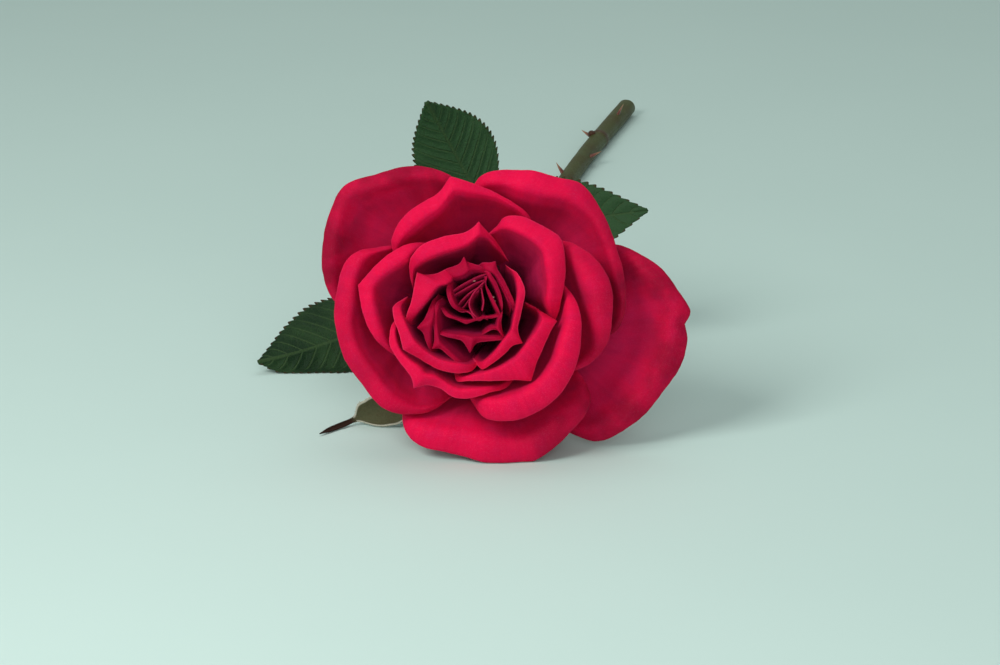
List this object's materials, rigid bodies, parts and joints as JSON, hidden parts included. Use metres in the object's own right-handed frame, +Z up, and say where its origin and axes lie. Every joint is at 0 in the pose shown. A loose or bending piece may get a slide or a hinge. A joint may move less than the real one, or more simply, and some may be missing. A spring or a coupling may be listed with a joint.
{
  "type": "rose flower",
  "caption": "Picked garden rose with a full crimson bloom of layered petals with curled rims, a green calyx, a prickly stem and toothed leaves, lying on its side.",
  "frame": {"origin": "middle of the bounding box, at the level of the surface the flower lies on", "axes": "+Z up from the surface, -Y the way the bloom faces, +Y back along the stem, +X to the right as seen from the front of the bloom"},
  "size_m": [0.0856, 0.2599, 0.0537],
  "materials": {
    "petal": "velvety crimson petal, darker in the folds",
    "petaloid": "deep wine-red petal",
    "calyx": "matte green with pale woolly margins",
    "stem": "satin olive-green bark with red-brown prickles",
    "leaf": "satin dark green with paler veins"
  },
  "bodies": {
    "root": {"petal_outer_right": "petal", "petal_outer_upper_left": "petal", "petal_outer_bottom": "petal", "petal_outer_upper_right": "petal", "petal_left": "petal", "petal_top": "petal", "petal_right": "petal", "petal_inner_left": "petal", "petal_inner_lower_right": "petal", "petal_inner_upper_right": "petal", "petal_inner_top": "petal", "petal_inner_lower_left": "petal", "petal_fold_bottom": "petal", "petal_band_left": "petal", "petal_small_left": "petal", "petal_small_right": "petal", "heart_petaloids": "petaloid", "calyx": "calyx", "stem": "stem", "leaf_left": "leaf", "leaf_upper": "leaf"}
  },
  "joints": []
}
